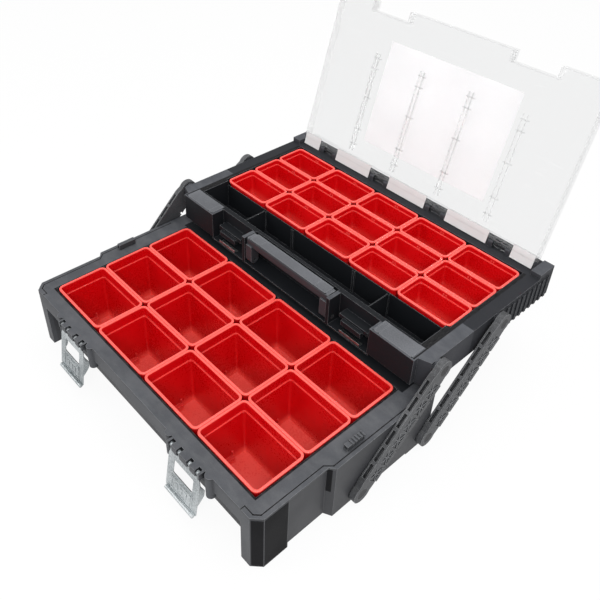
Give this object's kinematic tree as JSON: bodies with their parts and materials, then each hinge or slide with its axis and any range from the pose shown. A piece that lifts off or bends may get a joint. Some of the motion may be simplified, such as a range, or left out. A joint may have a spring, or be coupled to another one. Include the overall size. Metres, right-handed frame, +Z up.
{
  "type": "cantilever tool box",
  "caption": "Cantilever tool box shown open: deep red cups in a dark lower box, a tray of shallow cups swung back on side arms, a clear hinged lid, two metal latches and a folding handle.",
  "frame": {"origin": "centre of the lower box's flat underside, on the surface that it stands on", "axes": "+X to the box's right as seen from its front, +Y from the latches to the back, +Z up"},
  "size_m": [0.563, 0.6678, 0.4372],
  "materials": {
    "box_plastic": "fine moulded texture",
    "tray_plastic": "fine moulded texture",
    "arm_plastic": "fine moulded texture",
    "handle_plastic": "fine moulded texture",
    "divider_plastic": "smooth moulded",
    "red_plastic": "satin to glossy moulded",
    "clear_plastic": "clear glossy moulded plastic",
    "label_paper": "smooth blank sticker",
    "latch_steel": "zinc plated sheet",
    "pin_steel": "blackened pin"
  },
  "bodies": {
    "lower_box": {"lower_box": "box_plastic", "lower_pivot_pins": "pin_steel", "latch_pin_left": "pin_steel", "latch_pin_right": "pin_steel"},
    "tray": {"tray": "tray_plastic", "upper_pivot_pins": "pin_steel", "handle_pins": "pin_steel", "lid_hinge_pins": "pin_steel", "strike_left": "latch_steel", "strike_right": "latch_steel"},
    "carry_handle": {"carry_handle": "handle_plastic"},
    "lid": {"lid": "clear_plastic", "lid_label": "label_paper"},
    "latch_left": {"latch_left": "latch_steel"},
    "latch_right": {"latch_right": "latch_steel"},
    "arm_front_right": {"arm_front_right": "arm_plastic"},
    "arm_rear_right": {"arm_rear_right": "arm_plastic"},
    "arm_front_left": {"arm_front_left": "arm_plastic"},
    "arm_rear_left": {"arm_rear_left": "arm_plastic"},
    "lower_cup_1_1": {"lower_cup_1_1": "red_plastic"},
    "lower_cup_1_2": {"lower_cup_1_2": "red_plastic"},
    "lower_cup_1_3": {"lower_cup_1_3": "red_plastic"},
    "lower_cup_1_4": {"lower_cup_1_4": "red_plastic"},
    "lower_cup_2_1": {"lower_cup_2_1": "red_plastic"},
    "lower_cup_2_2": {"lower_cup_2_2": "red_plastic"},
    "lower_cup_2_3": {"lower_cup_2_3": "red_plastic"},
    "lower_cup_2_4": {"lower_cup_2_4": "red_plastic"},
    "lower_cup_3_1": {"lower_cup_3_1": "red_plastic"},
    "lower_cup_3_2": {"lower_cup_3_2": "red_plastic"},
    "lower_cup_3_3": {"lower_cup_3_3": "red_plastic"},
    "lower_cup_3_4": {"lower_cup_3_4": "red_plastic"},
    "tray_cup_1_1": {"tray_cup_1_1": "red_plastic"},
    "tray_cup_1_2": {"tray_cup_1_2": "red_plastic"},
    "tray_cup_1_3": {"tray_cup_1_3": "red_plastic"},
    "tray_cup_1_4": {"tray_cup_1_4": "red_plastic"},
    "tray_cup_1_5": {"tray_cup_1_5": "red_plastic"},
    "tray_cup_2_1": {"tray_cup_2_1": "red_plastic"},
    "tray_cup_2_2": {"tray_cup_2_2": "red_plastic"},
    "tray_cup_2_3": {"tray_cup_2_3": "red_plastic"},
    "tray_cup_2_4": {"tray_cup_2_4": "red_plastic"},
    "tray_cup_2_5": {"tray_cup_2_5": "red_plastic"},
    "tray_cup_3_1": {"tray_cup_3_1": "red_plastic"},
    "tray_cup_3_2": {"tray_cup_3_2": "red_plastic"},
    "tray_cup_3_3": {"tray_cup_3_3": "red_plastic"},
    "tray_cup_3_4": {"tray_cup_3_4": "red_plastic"},
    "tray_cup_3_5": {"tray_cup_3_5": "red_plastic"},
    "trough_divider_left": {"trough_divider_left": "divider_plastic"},
    "trough_divider_right": {"trough_divider_right": "divider_plastic"}
  },
  "joints": [
    {"name": "arm_front_right_swing", "type": "hinge", "parent": "lower_box", "child": "arm_front_right", "pos_m": [0.277, 0.006, 0.018], "axis": [-1, 0, 0], "range_deg": [-92.77, 0]},
    {"name": "arm_rear_right_swing", "type": "hinge", "parent": "lower_box", "child": "arm_rear_right", "pos_m": [0.277, 0.139, 0.018], "axis": [-1, 0, 0], "range_deg": [-92.77, 0]},
    {"name": "arm_front_left_swing", "type": "hinge", "parent": "lower_box", "child": "arm_front_left", "pos_m": [-0.277, 0.006, 0.018], "axis": [-1, 0, 0], "range_deg": [-92.77, 0]},
    {"name": "arm_rear_left_swing", "type": "hinge", "parent": "lower_box", "child": "arm_rear_left", "pos_m": [-0.277, 0.139, 0.018], "axis": [-1, 0, 0], "range_deg": [-92.77, 0]},
    {"name": "tray_level", "type": "hinge", "parent": "arm_front_right", "child": "tray", "pos_m": [0.277, 0.1435, 0.149], "axis": [-1, 0, 0], "range_deg": [0, 92.77]},
    {"name": "lid_hinge", "type": "hinge", "parent": "tray", "child": "lid", "pos_m": [0, 0.399, 0.1665], "axis": [-1, 0, 0], "range_deg": [-106.1, 0]},
    {"name": "latch_left_swing", "type": "hinge", "parent": "lower_box", "child": "latch_left", "pos_m": [-0.138, -0.162, 0.096], "axis": [1, 0, 0], "range_deg": [-182, 0]},
    {"name": "latch_right_swing", "type": "hinge", "parent": "lower_box", "child": "latch_right", "pos_m": [0.138, -0.162, 0.096], "axis": [1, 0, 0], "range_deg": [-182, 0]},
    {"name": "handle_fold", "type": "hinge", "parent": "tray", "child": "carry_handle", "pos_m": [0, 0.127, 0.122], "axis": [-1, 0, 0], "range_deg": [-90, 0]},
    {"name": "lower_cup_1_1_lift", "type": "slide", "parent": "lower_box", "child": "lower_cup_1_1", "axis": [0, 0, 1], "range_m": [0, 0.105]},
    {"name": "lower_cup_1_2_lift", "type": "slide", "parent": "lower_box", "child": "lower_cup_1_2", "axis": [0, 0, 1], "range_m": [0, 0.105]},
    {"name": "lower_cup_1_3_lift", "type": "slide", "parent": "lower_box", "child": "lower_cup_1_3", "axis": [0, 0, 1], "range_m": [0, 0.105]},
    {"name": "lower_cup_1_4_lift", "type": "slide", "parent": "lower_box", "child": "lower_cup_1_4", "axis": [0, 0, 1], "range_m": [0, 0.105]},
    {"name": "lower_cup_2_1_lift", "type": "slide", "parent": "lower_box", "child": "lower_cup_2_1", "axis": [0, 0, 1], "range_m": [0, 0.105]},
    {"name": "lower_cup_2_2_lift", "type": "slide", "parent": "lower_box", "child": "lower_cup_2_2", "axis": [0, 0, 1], "range_m": [0, 0.105]},
    {"name": "lower_cup_2_3_lift", "type": "slide", "parent": "lower_box", "child": "lower_cup_2_3", "axis": [0, 0, 1], "range_m": [0, 0.105]},
    {"name": "lower_cup_2_4_lift", "type": "slide", "parent": "lower_box", "child": "lower_cup_2_4", "axis": [0, 0, 1], "range_m": [0, 0.105]},
    {"name": "lower_cup_3_1_lift", "type": "slide", "parent": "lower_box", "child": "lower_cup_3_1", "axis": [0, 0, 1], "range_m": [0, 0.105]},
    {"name": "lower_cup_3_2_lift", "type": "slide", "parent": "lower_box", "child": "lower_cup_3_2", "axis": [0, 0, 1], "range_m": [0, 0.105]},
    {"name": "lower_cup_3_3_lift", "type": "slide", "parent": "lower_box", "child": "lower_cup_3_3", "axis": [0, 0, 1], "range_m": [0, 0.105]},
    {"name": "lower_cup_3_4_lift", "type": "slide", "parent": "lower_box", "child": "lower_cup_3_4", "axis": [0, 0, 1], "range_m": [0, 0.105]},
    {"name": "tray_cup_1_1_lift", "type": "slide", "parent": "tray", "child": "tray_cup_1_1", "axis": [0, 0, 1], "range_m": [0, 0.055]},
    {"name": "tray_cup_1_2_lift", "type": "slide", "parent": "tray", "child": "tray_cup_1_2", "axis": [0, 0, 1], "range_m": [0, 0.055]},
    {"name": "tray_cup_1_3_lift", "type": "slide", "parent": "tray", "child": "tray_cup_1_3", "axis": [0, 0, 1], "range_m": [0, 0.055]},
    {"name": "tray_cup_1_4_lift", "type": "slide", "parent": "tray", "child": "tray_cup_1_4", "axis": [0, 0, 1], "range_m": [0, 0.055]},
    {"name": "tray_cup_1_5_lift", "type": "slide", "parent": "tray", "child": "tray_cup_1_5", "axis": [0, 0, 1], "range_m": [0, 0.055]},
    {"name": "tray_cup_2_1_lift", "type": "slide", "parent": "tray", "child": "tray_cup_2_1", "axis": [0, 0, 1], "range_m": [0, 0.055]},
    {"name": "tray_cup_2_2_lift", "type": "slide", "parent": "tray", "child": "tray_cup_2_2", "axis": [0, 0, 1], "range_m": [0, 0.055]},
    {"name": "tray_cup_2_3_lift", "type": "slide", "parent": "tray", "child": "tray_cup_2_3", "axis": [0, 0, 1], "range_m": [0, 0.055]},
    {"name": "tray_cup_2_4_lift", "type": "slide", "parent": "tray", "child": "tray_cup_2_4", "axis": [0, 0, 1], "range_m": [0, 0.055]},
    {"name": "tray_cup_2_5_lift", "type": "slide", "parent": "tray", "child": "tray_cup_2_5", "axis": [0, 0, 1], "range_m": [0, 0.055]},
    {"name": "tray_cup_3_1_lift", "type": "slide", "parent": "tray", "child": "tray_cup_3_1", "axis": [0, 0, 1], "range_m": [0, 0.055]},
    {"name": "tray_cup_3_2_lift", "type": "slide", "parent": "tray", "child": "tray_cup_3_2", "axis": [0, 0, 1], "range_m": [0, 0.055]},
    {"name": "tray_cup_3_3_lift", "type": "slide", "parent": "tray", "child": "tray_cup_3_3", "axis": [0, 0, 1], "range_m": [0, 0.055]},
    {"name": "tray_cup_3_4_lift", "type": "slide", "parent": "tray", "child": "tray_cup_3_4", "axis": [0, 0, 1], "range_m": [0, 0.055]},
    {"name": "tray_cup_3_5_lift", "type": "slide", "parent": "tray", "child": "tray_cup_3_5", "axis": [0, 0, 1], "range_m": [0, 0.055]},
    {"name": "trough_divider_left_lift", "type": "slide", "parent": "tray", "child": "trough_divider_left", "axis": [0, 0, 1], "range_m": [0, 0.045]},
    {"name": "trough_divider_right_lift", "type": "slide", "parent": "tray", "child": "trough_divider_right", "axis": [0, 0, 1], "range_m": [0, 0.045]}
  ],
  "couplings": [
    {"joint": "arm_rear_right_swing", "follows": "arm_front_right_swing", "ratio": 1},
    {"joint": "arm_front_left_swing", "follows": "arm_front_right_swing", "ratio": 1},
    {"joint": "arm_rear_left_swing", "follows": "arm_front_right_swing", "ratio": 1},
    {"joint": "tray_level", "follows": "arm_front_right_swing", "ratio": -1}
  ]
}
